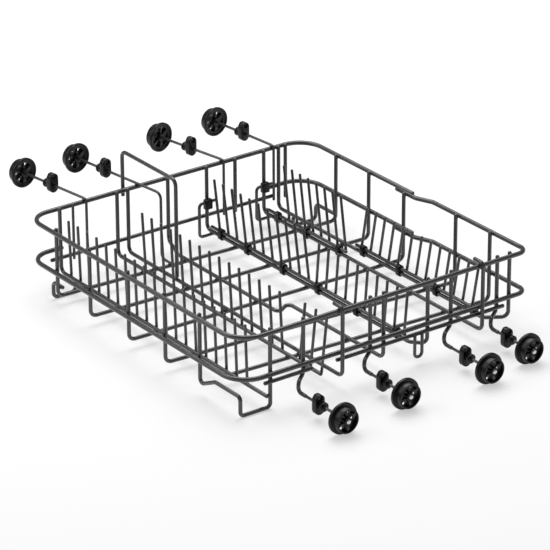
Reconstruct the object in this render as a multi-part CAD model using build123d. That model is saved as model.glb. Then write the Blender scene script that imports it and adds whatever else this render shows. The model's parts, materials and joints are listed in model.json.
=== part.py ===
from build123d import *
import os
from math import atan2, degrees

# Lower basket of a dishwasher, bent and welded from coated wire, with its wheels on long axles.
# Millimetres. X runs from the far side to the near side, Y from front to back, Z up from the ground.

# Basket
BASKET_WIDTH = 490.0          # between the rim lines of the two sides
BASKET_DEPTH = 471.0          # between the rim lines of front and back
LOWER_RIM_HEIGHT = 51.5       # centre of the lower rim above the ground
RIM_SPACING = 59.0            # lower rim to top rim
FLOOR_DROP = 38.0             # lower rim down to the floor wires
FAR_FRONT_CORNER = 31.0       # corner radii of the rims
NEAR_FRONT_CORNER = 36.0
NEAR_BACK_CORNER = 16.0
FAR_BACK_CORNER = 38.0
RIM_LAP = 31.0                # length over which the ends of a rim lie side by side
RIM_LAP_END = 5.0             # X where the far run of the back edge ends
RIM_STEP = 4.0                # how far the back edge steps outward beyond the lap
RIM_STEP_START = 17.0
RIM_STEP_RUN = 26.0           # length of that step along X
RIM_STEP_BEND = 14.0
LOWER_RIM_GAP = (-180.0, 165.0)   # the lower rim is open between these on the far side
TIP_PROUD = 4.5               # upright tips above the centre of the top rim

# Wires
RIM_WIRE = 6.5
FRAME_WIRE = 5.5
TINE_WIRE = 4.0
ROD_WIRE = 5.0                # pivot rods of the folding rows
ARM_WIRE = 4.0                # long axles of the wheels
LATCH_WIRE = 4.5
FRAME_BEND = 9.0              # bend radius at a wire's centre line
SMALL_BEND = 5.8
WELD_GAP = 0.05               # left between wires that are welded, filled by the weld

# Floor wires run front to back and rise as uprights: X at the front and at the back
FLOOR_WIRE_ENDS = ((-184.0, -164.0), (-104.0, -88.0), (-12.5, -0.7), (72.0, 100.0))
SHORT_FLOOR_WIRE = (150.5, 173.0)   # rises at the back only, starts under the front row

# Cross wires run side to side and rise as uprights
FRONT_ROW_Y = -188.0
SECOND_ROW_FRONT_Y = -94.0
SECOND_ROW_REAR_Y = -76.0
MIDDLE_WIRE_Y = (-9.0, -27.0, 0.0)   # far upright, far run, near run
MIDDLE_WIRE_X = (-190.0, 46.0, 30.0)   # end of the far slant, start and end of the jog
THIRD_ROW_Y = 57.0
THIRD_ROW_UPRIGHT_Y = 73.0    # its near upright stands further back
FOURTH_ROW_Y = 156.0
FIFTH_ROW_Y = 182.0
FIFTH_ROW_UPRIGHT_Y = 211.0
TURN_RUN = 18.0               # length along X of that turn
FREE_END = 8.0                # wires without a near upright end this far inside the side

# Hooks over the near rim, hoop over the far rim
HOOK_REACH = 14.0             # a hook's end inside the rim line
HOOP_HEIGHT = 56.0            # above the top rim
HOOP_REACH = 123.0            # from the far rim line inward
HOOP_LEG = 12.0               # outer leg runs this far below the top rim

# Short uprights of the far side, and the rails under the rims
FAR_UPRIGHT_Y = (106.0, 194.0)
THIN_UPRIGHT_Y = -166.0
NEAR_RAIL_DROP = 10.3
FRONT_RAIL_Y = (-194.0, -121.0)
REAR_RAIL_Y = (-79.0, 196.0)
FAR_RAIL_DROP = 14.5
FAR_RAIL_Y = (-199.0, 174.0)
SIDE_LOOP_Y = (44.0, 56.0)    # small loop that hangs from the rear rail
SIDE_LOOP_DROP = 41.0         # its lower end below the lower rim

# Feet
FOOT_RUN_DROP = 22.0          # near front foot's run along the front, below the lower rim
FOOT_RISE = 34.0              # length of the slant that lifts it there
FAR_FOOT_X = -204.0
FAR_FOOT_RUN_DROP = 25.0

# Tine rows: first and last foot along X, number, tip above the lower rim, lean of the tip along X
FRONT_TINES = (-221.0, 190.0, 19, 47.5, -4.0)
SECOND_TINES_FAR = (-178.5, 139.0, 15, 49.0, -6.5)
SECOND_TINES_NEAR = (177.0, 224.0, 3, 53.0, 11.5)
THIRD_TINES_FAR = (-214.0, -5.0, 11, 46.0, -13.0)
THIRD_TINES_NEAR = (12.0, 205.0, 10, 36.0, 6.0)
FOURTH_TINES = (-184.0, -52.0, 8, 52.5, -13.0)
FIFTH_TINES = (-50.0, 193.0, 13, 36.0, 12.0)
TINE_FOOT = 2.2               # a tine ends this far below the wire that carries it

# Pivot rods of the folding rows and the clips that hold them
THIRD_ROD_X = (-229.0, 214.0)
FOURTH_ROD_X = (-229.0, -44.0)
FIFTH_ROD_X = (-58.0, 209.0)
CLIP_WEB = 1.7                # plastic between the cross wire and the rod
CLIP_WALL = 2.2
CLIP_THICKNESS = 7.0
CLIP_SIDE_PLAY = 0.1          # clip bore over the cross wire
ROD_PLAY = 0.08               # clip bore over the turning rod
THIRD_CLIPS_X = (-203.5, -140.8, -57.2, 22.7, 108.5, 194.3)
FOURTH_CLIPS_X = (-205.0, -137.0, -61.4)
FIFTH_CLIPS_X = (-39.9, 41.1, 122.1, 203.0)

# Latches at the far ends of the third and fourth row
LATCH_X = -229.0
LATCH_FRONT = 20.0            # in front of the rod
LATCH_RISE = 13.0             # upper run above the lower rim
LATCH_BACK = 8.0              # behind the rod
LATCH_BLOCK = (8.0, 12.0, 15.0)
LATCH_BLOCK_FILLET = 2.5

# Wheels and axles
WHEEL_DIAMETER = 43.0
WHEEL_WIDTH = 14.5
FLANGE_THICKNESS = 4.5
DRUM_DIAMETER = 34.0
DRUM_WALL = 2.5
HUB_DIAMETER = 11.0
WEB_THICKNESS = 4.0
FLANGE_RECESS = 2.0
FLANGE_LIP = 3.0
SPOKES = 6
SPOKE_WIDTH = 3.4
WHEEL_CHAMFER = 0.8
JOURNAL_DIAMETER = 3.2
JOURNAL_PLAY = 0.06
AXLE_HEAD = (6.4, 1.6)        # diameter and thickness of the swaged end
AXIAL_PLAY = 0.35
NEAR_UPRIGHT_Y = (-130.0, -22.0, 112.0, 190.0)
NEAR_AXLE_Y = (-151.0, -45.0, 87.0, 166.0)
NEAR_WHEEL_X = (348.0, 340.0, 347.0, 332.0)   # flange faces of the near wheels
NEAR_CLIP_X = (295.0, 291.0, 297.0, 286.0)    # basket side of the near clips
KNEE_REACH = 12.0             # knee of a near axle beyond the rim line
KNEE_DROP = 16.5              # knee below the lower rim
NEAR_STUB_END = 28.0          # thick part of a near axle beyond the rim line
FAR_ARM_Y = (-144.0, -51.0, 87.0, 174.0)       # at the far rim
FAR_WHEEL_Y = (-162.0, -73.5, 64.5, 161.0)
FAR_WHEEL_X = (-367.0, -367.0, -360.0, -361.0)   # flange faces of the far wheels
FAR_ARM_BEND_X = (None, -195.0, None, None)   # None: bent down close inside the far rim
FAR_ARM_TAIL = 38.0           # foot of the arm that reaches into the basket
FAR_CLIP_OFFSET = 63.0        # basket side of a far clip to the flange face, along the arm

# Axle clips
PLATE = (9.0, 15.0, 28.0)     # thickness, width, height
NEAR_PLATE_ABOVE = -0.5       # plate's middle above the axle
FAR_PLATE_ABOVE = 3.5
WINDOW = (7.0, 6.0)           # width and height of the window above the axle
WINDOW_ABOVE = 9.7           # its middle above the plate's middle
BOSS = (11.0, 9.0)            # diameter and length
COLLAR = (13.0, 3.0)
AXLE_CLIP_PLAY = 0.05

# Worked out from the above
HALF_WIDTH = BASKET_WIDTH / 2
HALF_DEPTH = BASKET_DEPTH / 2
TOP_RIM_Z = LOWER_RIM_HEIGHT + RIM_SPACING
UPRIGHT_TOP_Z = TOP_RIM_Z + TIP_PROUD
FLOOR_Z = LOWER_RIM_HEIGHT - FLOOR_DROP
CROSS_Z = FLOOR_Z + FRAME_WIRE + WELD_GAP
FOOT_Z = FRAME_WIRE / 2
UPRIGHT_INSET = (RIM_WIRE + FRAME_WIRE) / 2 + WELD_GAP
SIDE_X = HALF_WIDTH - UPRIGHT_INSET
FRONT_Y = UPRIGHT_INSET - HALF_DEPTH
BACK_FAR_Y = HALF_DEPTH - RIM_STEP / 2
BACK_NEAR_Y = BACK_FAR_Y + RIM_STEP
OUTSIDE_X = HALF_WIDTH + UPRIGHT_INSET
OVER_RIM_Z = TOP_RIM_Z + UPRIGHT_INSET
SIDE_BY_SIDE = FRAME_WIRE + WELD_GAP
FOOT_RUN_Z = LOWER_RIM_HEIGHT - FOOT_RUN_DROP
FAR_FOOT_RUN_Z = LOWER_RIM_HEIGHT - FAR_FOOT_RUN_DROP
LATCH_TOP_Z = LOWER_RIM_HEIGHT + LATCH_RISE
ROD_Z = CROSS_Z + FRAME_WIRE / 2 + CLIP_WEB + ROD_WIRE / 2
AXLE_Z = WHEEL_DIAMETER / 2
ARM_INSET = (RIM_WIRE + ARM_WIRE) / 2 + WELD_GAP
FAR_ARM_Z = TOP_RIM_Z + ARM_INSET
UNDER_CROSS_Z = CROSS_Z - FRAME_WIRE / 2 - WELD_GAP
FOOT_BEND = 0.54 * (UNDER_CROSS_Z - FOOT_Z)


def straight_wire(start, end, diameter):
    """A straight round wire from one point to another."""
    axis = Vector(*end) - Vector(*start)
    foot = Plane(origin=start, z_dir=axis)
    return foot * Cylinder(diameter / 2, axis.length, align=(Align.CENTER, Align.CENTER, Align.MIN))


def bent_wire(points, diameter, bend):
    """A round wire along straight runs joined by bends of one radius, or of a list of radii."""
    path = FilletPolyline(*points, radius=bend)
    section = Plane(origin=path @ 0, z_dir=path % 0) * Circle(diameter / 2)
    return sweep(section, path=path)


def axle_cylinder(x_start, x_end, y, z, diameter):
    """A round bar along X."""
    return straight_wire((x_start, y, z), (x_end, y, z), diameter)


def near_rim_points(height):
    """The longer wire of a rim, from the lap at the back round the near side to the far front corner."""
    lap_y = BACK_FAR_Y - RIM_WIRE - WELD_GAP
    return [
        (RIM_LAP_END - RIM_LAP, lap_y, height),
        (RIM_STEP_START, lap_y, height),
        (RIM_STEP_START + RIM_STEP_RUN, BACK_NEAR_Y, height),
        (HALF_WIDTH, BACK_NEAR_Y, height),
        (HALF_WIDTH, -HALF_DEPTH, height),
        (-HALF_WIDTH, -HALF_DEPTH, height),
    ]


NEAR_RIM_BENDS = [RIM_STEP_BEND, RIM_STEP_BEND, NEAR_BACK_CORNER, NEAR_FRONT_CORNER, FAR_FRONT_CORNER]


def top_rim():
    """The top rim: one wire bent round the basket whose ends lie side by side at the back."""
    points = near_rim_points(TOP_RIM_Z)
    points.append((-HALF_WIDTH, BACK_FAR_Y, TOP_RIM_Z))
    points.append((RIM_LAP_END, BACK_FAR_Y, TOP_RIM_Z))
    return bent_wire(points, RIM_WIRE, NEAR_RIM_BENDS + [FAR_BACK_CORNER])


def lower_rim():
    """The longer wire of the lower rim, open along the far side."""
    points = near_rim_points(LOWER_RIM_HEIGHT)
    points.append((-HALF_WIDTH, LOWER_RIM_GAP[0], LOWER_RIM_HEIGHT))
    return bent_wire(points, RIM_WIRE, NEAR_RIM_BENDS)


def lower_rim_corner():
    """The shorter wire of the lower rim, round the far back corner."""
    points = [
        (RIM_LAP_END, BACK_FAR_Y, LOWER_RIM_HEIGHT),
        (-HALF_WIDTH, BACK_FAR_Y, LOWER_RIM_HEIGHT),
        (-HALF_WIDTH, LOWER_RIM_GAP[1], LOWER_RIM_HEIGHT),
    ]
    return bent_wire(points, RIM_WIRE, FAR_BACK_CORNER)


def back_upright_y(x):
    """Centre line of a back upright, inside the stepped back edge of the rims."""
    if x > RIM_STEP_START + RIM_STEP_RUN:
        return BACK_NEAR_Y - UPRIGHT_INSET
    if x > RIM_LAP_END - RIM_LAP - FRAME_WIRE:
        return BACK_FAR_Y - RIM_WIRE - WELD_GAP - UPRIGHT_INSET
    return BACK_FAR_Y - UPRIGHT_INSET


def floor_wire(front_x, back_x):
    """A wire down the front, along the floor and up the back."""
    back = back_upright_y(back_x)
    points = [
        (front_x, FRONT_Y, UPRIGHT_TOP_Z),
        (front_x, FRONT_Y, FLOOR_Z),
        (back_x, back, FLOOR_Z),
        (back_x, back, UPRIGHT_TOP_Z),
    ]
    return bent_wire(points, FRAME_WIRE, FRAME_BEND)


def short_floor_wire():
    """The last floor wire: it starts under the front row and rises at the back."""
    front_x, back_x = SHORT_FLOOR_WIRE
    back = back_upright_y(back_x)
    points = [
        (front_x, FRONT_ROW_Y - FRAME_WIRE, FLOOR_Z),
        (back_x, back, FLOOR_Z),
        (back_x, back, UPRIGHT_TOP_Z),
    ]
    return bent_wire(points, FRAME_WIRE, FRAME_BEND)


def far_upright(y):
    """The first points of a cross wire: down the far side to the floor."""
    return [(-SIDE_X, y, UPRIGHT_TOP_Z), (-SIDE_X, y, CROSS_Z)]


def plain_cross_wire(y, end_x):
    """A cross wire with an upright at the far side only."""
    return bent_wire(far_upright(y) + [(end_x, y, CROSS_Z)], FRAME_WIRE, FRAME_BEND)


def hooked_cross_wire(y):
    """A cross wire that rises outside the near rims and ends as a hook over the top rim."""
    points = far_upright(y) + [
        (OUTSIDE_X, y, CROSS_Z),
        (OUTSIDE_X, y, OVER_RIM_Z),
        (HALF_WIDTH - HOOK_REACH, y, OVER_RIM_Z),
    ]
    return bent_wire(points, FRAME_WIRE, [FRAME_BEND, FRAME_BEND, UPRIGHT_INSET])


def middle_wire():
    """The cross wire of the open middle, with a slant and a jog in its run."""
    upright_y, far_y, near_y = MIDDLE_WIRE_Y
    slant_x, jog_x, jog_end_x = MIDDLE_WIRE_X
    points = far_upright(upright_y) + [
        (slant_x, far_y, CROSS_Z),
        (jog_x, far_y, CROSS_Z),
        (jog_end_x, near_y, CROSS_Z),
        (SIDE_X, near_y, CROSS_Z),
        (SIDE_X, near_y, UPRIGHT_TOP_Z),
    ]
    bends = [FRAME_BEND, FRAME_BEND, SMALL_BEND, SMALL_BEND, FRAME_BEND]
    return bent_wire(points, FRAME_WIRE, bends)


def turned_cross_wire(y, upright_y):
    """A cross wire that turns back to a near upright further behind."""
    points = far_upright(y) + [
        (SIDE_X - TURN_RUN, y, CROSS_Z),
        (SIDE_X, upright_y, CROSS_Z),
        (SIDE_X, upright_y, UPRIGHT_TOP_Z),
    ]
    return bent_wire(points, FRAME_WIRE, FRAME_BEND)


def hoop():
    """A tall hoop from the outside of the far rim down onto the second row."""
    y = SECOND_ROW_REAR_Y
    top = TOP_RIM_Z + HOOP_HEIGHT
    inner_x = HOOP_REACH - HALF_WIDTH
    points = [
        (-OUTSIDE_X, y, TOP_RIM_Z - HOOP_LEG),
        (-OUTSIDE_X, y, top),
        (inner_x, y, top),
        (inner_x, y, CROSS_Z + FRAME_WIRE / 2 + WELD_GAP),
    ]
    return bent_wire(points, FRAME_WIRE, FRAME_BEND)


def far_side_uprights():
    """Short straight uprights between the far rail and the top rim."""
    foot_z = LOWER_RIM_HEIGHT - FAR_RAIL_DROP - FRAME_WIRE
    uprights = []
    for y in FAR_UPRIGHT_Y:
        uprights.append(straight_wire((-SIDE_X, y, foot_z), (-SIDE_X, y, UPRIGHT_TOP_Z), FRAME_WIRE))
    x = ARM_INSET - HALF_WIDTH
    uprights.append(straight_wire((x, THIN_UPRIGHT_Y, foot_z), (x, THIN_UPRIGHT_Y, UPRIGHT_TOP_Z), ARM_WIRE))
    return uprights


def side_loop():
    """A small loop on the outside of the rear rail."""
    x = SIDE_X + SIDE_BY_SIDE + (FRAME_WIRE + LATCH_WIRE) / 2 + WELD_GAP
    top = LOWER_RIM_HEIGHT - NEAR_RAIL_DROP + LATCH_WIRE / 2
    front, back = SIDE_LOOP_Y
    end = LOWER_RIM_HEIGHT - SIDE_LOOP_DROP
    points = [(x, front, top), (x, front, end), (x, back, end), (x, back, top)]
    return bent_wire(points, LATCH_WIRE, 0.48 * (back - front))


def side_rail(side, ends, drop):
    """A straight rail with rounded ends outside the uprights of one side."""
    x = side * (SIDE_X + SIDE_BY_SIDE)
    z = LOWER_RIM_HEIGHT - drop
    start, end = ((x, y, z) for y in ends)
    rail = straight_wire(start, end, FRAME_WIRE)
    for point in (start, end):
        rail += Pos(*point) * Sphere(FRAME_WIRE / 2)
    return rail


def near_front_foot():
    """Front upright, foot under the near front corner and near side upright, all one wire."""
    x = SHORT_FLOOR_WIRE[0]
    rear_y = FRONT_ROW_Y + SIDE_BY_SIDE
    points = [
        (x, FRONT_Y, UPRIGHT_TOP_Z),
        (x, FRONT_Y, FLOOR_Z),
        (x + FOOT_RISE, FRONT_Y, FOOT_RUN_Z),
        (SIDE_X, FRONT_Y, FOOT_RUN_Z),
        (SIDE_X, FRONT_Y, FOOT_Z),
        (SIDE_X, rear_y, FOOT_Z),
        (SIDE_X, rear_y, UPRIGHT_TOP_Z),
    ]
    return bent_wire(points, FRAME_WIRE, SMALL_BEND)


def far_foot(start_x, side_y, inner_y):
    """A foot from a floor wire's upright down to the ground and up under a cross wire."""
    points = [
        (start_x + FRAME_WIRE, side_y, FAR_FOOT_RUN_Z),
        (FAR_FOOT_X, side_y, FAR_FOOT_RUN_Z),
        (FAR_FOOT_X, side_y, FOOT_Z),
        (FAR_FOOT_X, inner_y, FOOT_Z),
        (FAR_FOOT_X, inner_y, UNDER_CROSS_Z),
    ]
    return bent_wire(points, FRAME_WIRE, FOOT_BEND)


def far_front_foot():
    """Far front foot, its end under the front row's wire."""
    return far_foot(FLOOR_WIRE_ENDS[0][0], FRONT_Y + SIDE_BY_SIDE, FRONT_ROW_Y)


def far_rear_foot():
    """Far rear foot, its end under the fifth row's wire."""
    start_x = FLOOR_WIRE_ENDS[0][1]
    return far_foot(start_x, back_upright_y(start_x) - SIDE_BY_SIDE, FIFTH_ROW_Y)


def tine_row(row, y, base_z):
    """Straight tines at an even pitch, leaning along X."""
    first, last, count, tip_rise, lean = row
    pitch = (last - first) / (count - 1)
    feet = [first + pitch * number for number in range(count)]
    foot_z = base_z - TINE_FOOT
    tip_z = LOWER_RIM_HEIGHT + tip_rise
    return [straight_wire((x, y, foot_z), (x + lean, y, tip_z), TINE_WIRE) for x in feet]


def fixed_row(rows, wire_y):
    """Tines welded to the back of a cross wire."""
    y = wire_y + (FRAME_WIRE + TINE_WIRE) / 2 + WELD_GAP
    return [tine for row in rows for tine in tine_row(row, y, CROSS_Z)]


def folding_row(rows, wire_y, rod_ends):
    """A pivot rod with tines welded to its back."""
    y = wire_y + (ROD_WIRE + TINE_WIRE) / 2 + WELD_GAP
    rod = axle_cylinder(*rod_ends, wire_y, ROD_Z, ROD_WIRE)
    return [rod] + [tine for row in rows for tine in tine_row(row, y, ROD_Z)]


def pivot_clip(x, wire_y):
    """A plastic clip on a cross wire with a bore for the rod above it."""
    width = max(FRAME_WIRE, ROD_WIRE) + 2 * CLIP_WALL
    outline = Pos(0, (CROSS_Z + ROD_Z) / 2) * SlotCenterToCenter(ROD_Z - CROSS_Z, width, rotation=90)
    outline -= Pos(0, CROSS_Z) * Circle(FRAME_WIRE / 2 + CLIP_SIDE_PLAY)
    outline -= Pos(0, ROD_Z) * Circle(ROD_WIRE / 2 + ROD_PLAY)
    across = Plane(origin=(x, wire_y, 0), x_dir=(0, 1, 0), z_dir=(1, 0, 0))
    return extrude(across * outline, CLIP_THICKNESS / 2, both=True)


def latch_loop(wire_y):
    """A wire loop round the far end of a folding row, welded under its cross wire."""
    bottom = CROSS_Z - (FRAME_WIRE + LATCH_WIRE) / 2 - WELD_GAP
    points = [
        (LATCH_X, wire_y + LATCH_BACK, LATCH_TOP_Z),
        (LATCH_X, wire_y - LATCH_FRONT, LATCH_TOP_Z),
        (LATCH_X, wire_y - LATCH_FRONT, bottom),
        (LATCH_X, wire_y + LATCH_BACK, bottom),
    ]
    return bent_wire(points, LATCH_WIRE, SMALL_BEND)


def latch_block(wire_y):
    """The plastic block that hangs on a latch loop's upper run."""
    thickness, width, height = LATCH_BLOCK
    block = Box(thickness, width, height, align=(Align.CENTER, Align.CENTER, Align.MAX))
    block = fillet(block.edges().filter_by(Axis.X), LATCH_BLOCK_FILLET)
    seat_z = LATCH_WIRE / 2 + CLIP_WALL
    bore = Rot(90, 0, 0) * Cylinder(LATCH_WIRE / 2 + WELD_GAP, width)
    block = Pos(0, 0, seat_z) * block - bore
    return Pos(LATCH_X, wire_y - LATCH_FRONT / 4, LATCH_TOP_Z) * block


def wheel():
    """A flanged wheel about X: flange face at the origin, drum towards +X, open spokes."""
    rim_radius = DRUM_DIAMETER / 2
    hub_radius = HUB_DIAMETER / 2
    bore_radius = JOURNAL_DIAMETER / 2 + JOURNAL_PLAY
    flange_radius = WHEEL_DIAMETER / 2
    lip_radius = flange_radius - FLANGE_LIP
    web_end = FLANGE_RECESS + WEB_THICKNESS
    profile = Polyline(
        (0, bore_radius),
        (0, hub_radius),
        (FLANGE_RECESS, hub_radius),
        (FLANGE_RECESS, lip_radius),
        (0, lip_radius),
        (0, flange_radius - WHEEL_CHAMFER),
        (WHEEL_CHAMFER, flange_radius),
        (FLANGE_THICKNESS - WHEEL_CHAMFER, flange_radius),
        (FLANGE_THICKNESS, flange_radius - WHEEL_CHAMFER),
        (FLANGE_THICKNESS, rim_radius),
        (WHEEL_WIDTH - WHEEL_CHAMFER, rim_radius),
        (WHEEL_WIDTH, rim_radius - WHEEL_CHAMFER),
        (WHEEL_WIDTH, rim_radius - DRUM_WALL),
        (web_end, rim_radius - DRUM_WALL),
        (web_end, hub_radius),
        (WHEEL_WIDTH, hub_radius),
        (WHEEL_WIDTH, bore_radius),
        close=True,
    )
    body = revolve(make_face(profile), Axis.X)
    opening = Circle(rim_radius - DRUM_WALL) - Circle(hub_radius)
    half_turn = 180 / SPOKES
    for number in range(SPOKES):
        spoke = Rectangle(rim_radius, SPOKE_WIDTH, align=(Align.MIN, Align.CENTER))
        opening -= Rot(0, 0, 2 * half_turn * number) * spoke
    across = Plane(origin=(FLANGE_RECESS, 0, 0), x_dir=(0, 1, 0), z_dir=(1, 0, 0))
    return body - extrude(across * opening, WEB_THICKNESS)


def axle_clip(plate_above):
    """A plastic plate with a window and a boss for the axle: basket side at the origin, boss to +X."""
    thickness, width, height = PLATE
    across = Plane(origin=(0, 0, 0), x_dir=(0, 1, 0), z_dir=(1, 0, 0))
    outline = Pos(0, plate_above) * SlotOverall(height, width, rotation=90)
    outline -= Pos(0, plate_above + WINDOW_ABOVE) * RectangleRounded(*WINDOW, min(WINDOW) / 3)
    clip = extrude(across * outline, thickness)
    boss_diameter, boss_length = BOSS
    collar_diameter, collar_length = COLLAR
    clip += axle_cylinder(0, thickness + boss_length, 0, 0, boss_diameter)
    collar_start = thickness + boss_length - collar_length
    clip += axle_cylinder(collar_start, thickness + boss_length, 0, 0, collar_diameter)
    bore = ARM_WIRE + 2 * AXLE_CLIP_PLAY
    return clip - axle_cylinder(0, thickness + boss_length, 0, 0, bore)


def wheel_journal():
    """The thin end of an axle, in a wheel whose flange face is at the origin, with its swaged head."""
    head_diameter, head_length = AXLE_HEAD
    outer_x = WHEEL_WIDTH + AXIAL_PLAY
    journal = axle_cylinder(-AXIAL_PLAY, outer_x, 0, 0, JOURNAL_DIAMETER)
    return journal + axle_cylinder(outer_x, outer_x + head_length, 0, 0, head_diameter)


def near_axle(upright_y, axle_y, wheel_x):
    """A near upright that turns outward through a knee and carries a wheel."""
    knee_x = HALF_WIDTH + KNEE_REACH
    knee_z = LOWER_RIM_HEIGHT - KNEE_DROP
    stub_x = HALF_WIDTH + NEAR_STUB_END
    points = [
        (SIDE_X, upright_y, UPRIGHT_TOP_Z),
        (SIDE_X, upright_y, knee_z),
        (knee_x, axle_y, knee_z),
        (knee_x, axle_y, AXLE_Z),
        (stub_x, axle_y, AXLE_Z),
    ]
    axle = bent_wire(points, FRAME_WIRE, 0.46 * (knee_z - AXLE_Z))
    axle += axle_cylinder(stub_x, wheel_x - AXIAL_PLAY, axle_y, AXLE_Z, ARM_WIRE)
    return axle + Pos(wheel_x, axle_y, AXLE_Z) * wheel_journal()


def far_arm_place(arm_y, wheel_y, wheel_x, bend_x):
    """Where a far wheel sits: its flange face on the arm, its +X along the arm outward."""
    inner_x = ARM_INSET - HALF_WIDTH if bend_x is None else bend_x
    turn = degrees(atan2(wheel_y - arm_y, wheel_x - inner_x))
    return Pos(wheel_x, wheel_y, FAR_ARM_Z) * Rot(0, 0, turn)


def far_axle(arm_y, wheel_y, wheel_x, bend_x):
    """An arm that lies over the far rim, carries a wheel outside and is welded inside."""
    place = far_arm_place(arm_y, wheel_y, wheel_x, bend_x)
    end = place * Pos(-AXIAL_PLAY, 0, 0)
    if bend_x is None:
        inner_x = ARM_INSET - HALF_WIDTH
        tail = [(inner_x, arm_y, LOWER_RIM_HEIGHT - FAR_RAIL_DROP - FRAME_WIRE)]
        bends = ARM_INSET
    else:
        inner_x = bend_x
        tail_z = FLOOR_Z + (FRAME_WIRE + ARM_WIRE) / 2 + WELD_GAP
        tail = [(inner_x, arm_y, tail_z), (inner_x + FAR_ARM_TAIL, arm_y, tail_z)]
        bends = FRAME_BEND
    points = [tuple(end.position), (inner_x, arm_y, FAR_ARM_Z)] + tail
    return bent_wire(points, ARM_WIRE, bends) + place * wheel_journal()


def build_frame():
    """The welded basket: rims, floor wires, cross wires, feet, rails, hoop and fixed tines."""
    nodes = {
        "top_rim": top_rim(),
        "lower_rim": lower_rim(),
        "lower_rim_corner": lower_rim_corner(),
        "short_floor_wire": short_floor_wire(),
        "front_row_wire": plain_cross_wire(FRONT_ROW_Y, SIDE_X + FRAME_WIRE / 2),
        "second_row_front_wire": plain_cross_wire(SECOND_ROW_FRONT_Y, SIDE_X - FREE_END),
        "second_row_rear_wire": hooked_cross_wire(SECOND_ROW_REAR_Y),
        "middle_wire": middle_wire(),
        "third_row_wire": turned_cross_wire(THIRD_ROW_Y, THIRD_ROW_UPRIGHT_Y),
        "fourth_row_wire": hooked_cross_wire(FOURTH_ROW_Y),
        "fifth_row_wire": turned_cross_wire(FIFTH_ROW_Y, FIFTH_ROW_UPRIGHT_Y),
        "far_rim_hoop": hoop(),
        "far_side_uprights": far_side_uprights(),
        "far_side_rail": side_rail(-1, FAR_RAIL_Y, FAR_RAIL_DROP),
        "near_side_rails": [side_rail(1, ends, NEAR_RAIL_DROP) for ends in (FRONT_RAIL_Y, REAR_RAIL_Y)],
        "near_side_loop": side_loop(),
        "near_front_foot": near_front_foot(),
        "far_front_foot": far_front_foot(),
        "far_rear_foot": far_rear_foot(),
        "front_row_tines": fixed_row([FRONT_TINES], FRONT_ROW_Y),
        "second_row_tines": fixed_row([SECOND_TINES_FAR, SECOND_TINES_NEAR], SECOND_ROW_FRONT_Y),
    }
    for number, ends in enumerate(FLOOR_WIRE_ENDS, start=1):
        nodes[f"floor_wire_{number}"] = floor_wire(*ends)
    return nodes


def build_folding_rows():
    """The three rows that fold forward, their clips and their latches."""
    third = [THIRD_TINES_FAR, THIRD_TINES_NEAR]
    return {
        "third_row_rack": folding_row(third, THIRD_ROW_Y, THIRD_ROD_X),
        "fourth_row_rack": folding_row([FOURTH_TINES], FOURTH_ROW_Y, FOURTH_ROD_X),
        "fifth_row_rack": folding_row([FIFTH_TINES], FIFTH_ROW_Y, FIFTH_ROD_X),
        "third_row_clips": [pivot_clip(x, THIRD_ROW_Y) for x in THIRD_CLIPS_X],
        "fourth_row_clips": [pivot_clip(x, FOURTH_ROW_Y) for x in FOURTH_CLIPS_X],
        "fifth_row_clips": [pivot_clip(x, FIFTH_ROW_Y) for x in FIFTH_CLIPS_X],
        "third_row_latch_loop": latch_loop(THIRD_ROW_Y),
        "fourth_row_latch_loop": latch_loop(FOURTH_ROW_Y),
        "third_row_latch_block": latch_block(THIRD_ROW_Y),
        "fourth_row_latch_block": latch_block(FOURTH_ROW_Y),
    }


def build_running_gear():
    """Axles, clips and wheels of both sides."""
    nodes = {}
    one_wheel = wheel()
    near_clip = axle_clip(NEAR_PLATE_ABOVE)
    far_clip = axle_clip(FAR_PLATE_ABOVE)
    near_places = zip(NEAR_UPRIGHT_Y, NEAR_AXLE_Y, NEAR_WHEEL_X, NEAR_CLIP_X)
    for number, (upright_y, y, wheel_x, clip_x) in enumerate(near_places, start=1):
        nodes[f"near_axle_{number}"] = near_axle(upright_y, y, wheel_x)
        nodes[f"near_axle_clip_{number}"] = Pos(clip_x, y, AXLE_Z) * near_clip
        nodes[f"near_wheel_{number}"] = Pos(wheel_x, y, AXLE_Z) * one_wheel
    far_places = zip(FAR_ARM_Y, FAR_WHEEL_Y, FAR_WHEEL_X, FAR_ARM_BEND_X)
    for number, arm in enumerate(far_places, start=1):
        place = far_arm_place(*arm)
        nodes[f"far_axle_{number}"] = far_axle(*arm)
        nodes[f"far_axle_clip_{number}"] = place * Pos(-FAR_CLIP_OFFSET, 0, 0) * far_clip
        nodes[f"far_wheel_{number}"] = place * one_wheel
    return nodes


def write_node(name, shape):
    """One STEP file for one node, a single solid or a group of solids."""
    pieces = shape if isinstance(shape, list) else [shape]
    solids = [solid for piece in pieces for solid in piece.solids()]
    export_step(solids[0] if len(solids) == 1 else Compound(solids), f"parts/{name}.step")


os.makedirs("parts", exist_ok=True)
for node_name, node_shape in {**build_frame(), **build_folding_rows(), **build_running_gear()}.items():
    write_node(node_name, node_shape)
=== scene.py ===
"""Looks of a lower dishwasher basket: coated wire, welds, folding tine rows, moulded clips and wheels."""

import json
import math

import bmesh
import bpy
from bpy.props import FloatProperty, FloatVectorProperty, IntProperty, PointerProperty
from mathutils import Matrix, Vector


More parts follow.
